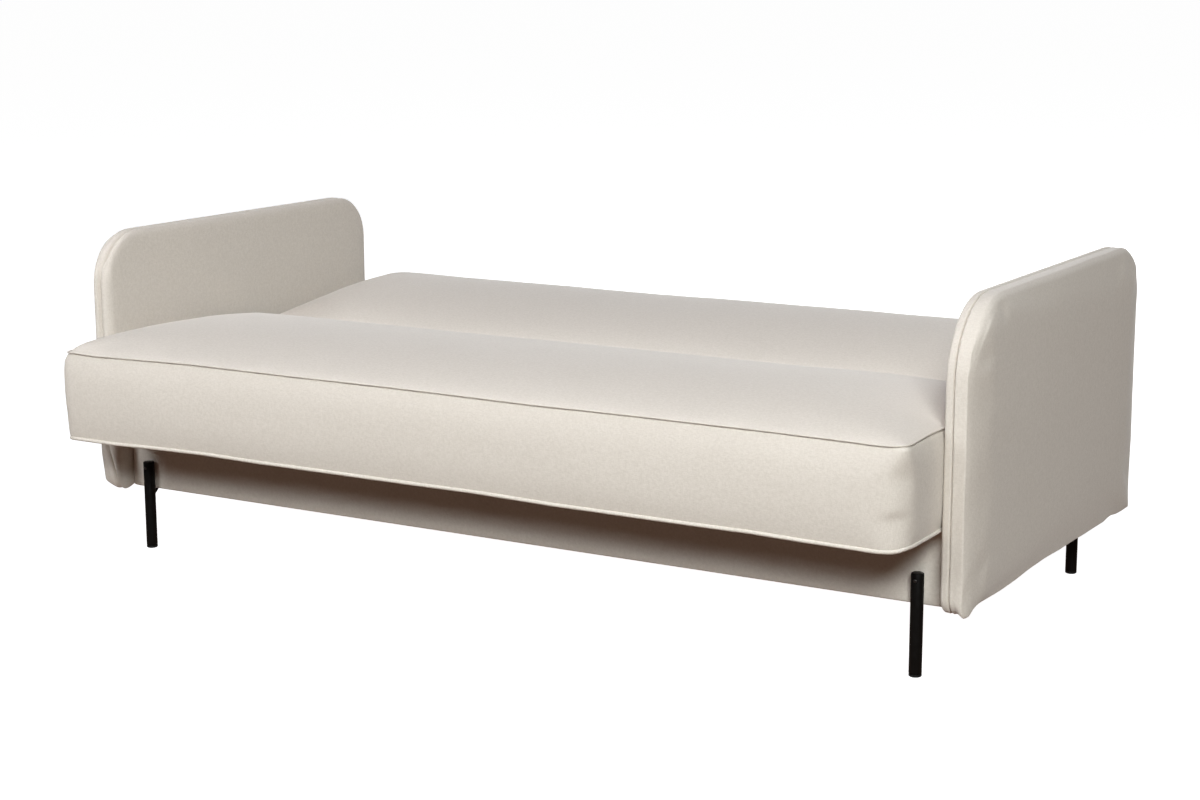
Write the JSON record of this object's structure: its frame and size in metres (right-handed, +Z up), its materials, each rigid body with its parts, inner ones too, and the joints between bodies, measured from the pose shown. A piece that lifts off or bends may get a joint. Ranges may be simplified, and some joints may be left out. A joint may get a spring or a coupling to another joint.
{
  "type": "click clack sofa bed",
  "caption": "Three-seat click clack sofa bed opened flat, with crowned box cushions between padded round-topped arms, a bedding box and slim tube legs.",
  "frame": {"origin": "on the floor under the middle of the sofa bed, with the bed opened flat", "axes": "+X along the length from the left arm to the right arm as seen from the front, +Y from the front to the back, +Z up"},
  "size_m": [2.04, 1.2398, 0.692],
  "materials": {
    "upholstery": "soft plain weave, matt",
    "lining": "non-woven, matt",
    "timber": "planed softwood",
    "plywood": "thin plywood",
    "black_steel": "black powder coat, satin",
    "black_plastic": "moulded, matt",
    "zinc_steel": "zinc plated"
  },
  "bodies": {
    "base": {"plinth_front_panel": "upholstery", "plinth_rear_panel": "upholstery", "box_left_panel": "timber", "box_right_panel": "timber", "box_floor": "plywood", "box_centre_rail": "timber", "front_left_leg": "black_steel", "front_right_leg": "black_steel", "rear_left_leg": "black_steel", "rear_right_leg": "black_steel", "front_left_glide": "black_plastic", "front_right_glide": "black_plastic", "rear_left_glide": "black_plastic", "rear_right_glide": "black_plastic", "left_arm_inner_pad": "upholstery", "right_arm_inner_pad": "upholstery", "left_arm_outer_pad": "upholstery", "right_arm_outer_pad": "upholstery", "left_arm_board": "timber", "right_arm_board": "timber", "left_arm_bolt_front": "zinc_steel", "left_arm_bolt_rear": "zinc_steel", "right_arm_bolt_front": "zinc_steel", "right_arm_bolt_rear": "zinc_steel", "left_base_bracket": "zinc_steel", "right_base_bracket": "zinc_steel"},
    "left_rear_link": {"left_rear_link": "zinc_steel"},
    "left_front_link": {"left_front_link": "zinc_steel"},
    "right_rear_link": {"right_rear_link": "zinc_steel"},
    "right_front_link": {"right_front_link": "zinc_steel"},
    "left_hinge_arm": {"left_hinge_arm": "zinc_steel"},
    "right_hinge_arm": {"right_hinge_arm": "zinc_steel"},
    "seat": {"seat_cushion": "upholstery", "seat_frame_front_rail": "timber", "seat_frame_rear_rail": "timber", "seat_frame_left_rail": "timber", "seat_frame_right_rail": "timber", "seat_frame_middle_rail": "timber", "seat_deck": "plywood", "seat_dust_cover": "lining", "left_seat_leaf": "zinc_steel", "right_seat_leaf": "zinc_steel"},
    "backrest": {"back_cushion": "upholstery", "back_frame_front_rail": "timber", "back_frame_rear_rail": "timber", "back_frame_left_rail": "timber", "back_frame_right_rail": "timber", "back_frame_middle_rail": "timber", "back_deck": "plywood", "back_dust_cover": "lining", "left_back_leaf": "zinc_steel", "right_back_leaf": "zinc_steel", "left_pawl_spring": "zinc_steel", "right_pawl_spring": "zinc_steel"},
    "left_pawl": {"left_pawl": "zinc_steel"},
    "right_pawl": {"right_pawl": "zinc_steel"}
  },
  "joints": [
    {"name": "bed_shift", "type": "hinge", "parent": "base", "child": "left_rear_link", "pos_m": [-0.955, 0.2415, 0.2396], "axis": [-1, 0, 0], "range_deg": [0, 60]},
    {"name": "right_rear_link_swing", "type": "hinge", "parent": "base", "child": "right_rear_link", "pos_m": [0.955, 0.2415, 0.2396], "axis": [-1, 0, 0], "range_deg": [0, 60]},
    {"name": "left_front_link_swing", "type": "hinge", "parent": "base", "child": "left_front_link", "pos_m": [-0.955, 0.1315, 0.2396], "axis": [-1, 0, 0], "range_deg": [0, 60]},
    {"name": "right_front_link_swing", "type": "hinge", "parent": "base", "child": "right_front_link", "pos_m": [0.955, 0.1315, 0.2396], "axis": [-1, 0, 0], "range_deg": [0, 60]},
    {"name": "left_hinge_arm_level", "type": "hinge", "parent": "left_rear_link", "child": "left_hinge_arm", "pos_m": [-0.955, 0.1665, 0.3695], "axis": [1, 0, 0], "range_deg": [0, 60]},
    {"name": "right_hinge_arm_level", "type": "hinge", "parent": "right_rear_link", "child": "right_hinge_arm", "pos_m": [0.955, 0.1665, 0.3695], "axis": [1, 0, 0], "range_deg": [0, 60]},
    {"name": "seat_lift", "type": "hinge", "parent": "left_hinge_arm", "child": "seat", "pos_m": [-0.948, 0.0025, 0.3695], "axis": [-1, 0, 0], "range_deg": [0, 18]},
    {"name": "back_fold", "type": "hinge", "parent": "left_hinge_arm", "child": "backrest", "pos_m": [-0.948, 0.1665, 0.3695], "axis": [1, 0, 0], "range_deg": [0, 72]},
    {"name": "left_pawl_click", "type": "hinge", "parent": "backrest", "child": "left_pawl", "pos_m": [-0.949, 0.20273, 0.4232], "axis": [-1, 0, 0], "range_deg": [0, 8]},
    {"name": "right_pawl_click", "type": "hinge", "parent": "backrest", "child": "right_pawl", "pos_m": [0.949, 0.20273, 0.4232], "axis": [-1, 0, 0], "range_deg": [0, 8]}
  ],
  "couplings": [
    {"joint": "right_rear_link_swing", "follows": "bed_shift", "ratio": 1},
    {"joint": "left_front_link_swing", "follows": "bed_shift", "ratio": 1},
    {"joint": "right_front_link_swing", "follows": "bed_shift", "ratio": 1},
    {"joint": "left_hinge_arm_level", "follows": "bed_shift", "ratio": 1},
    {"joint": "right_hinge_arm_level", "follows": "bed_shift", "ratio": 1},
    {"joint": "back_fold", "follows": "bed_shift", "ratio": 1.2},
    {"joint": "right_pawl_click", "follows": "left_pawl_click", "ratio": 1}
  ]
}
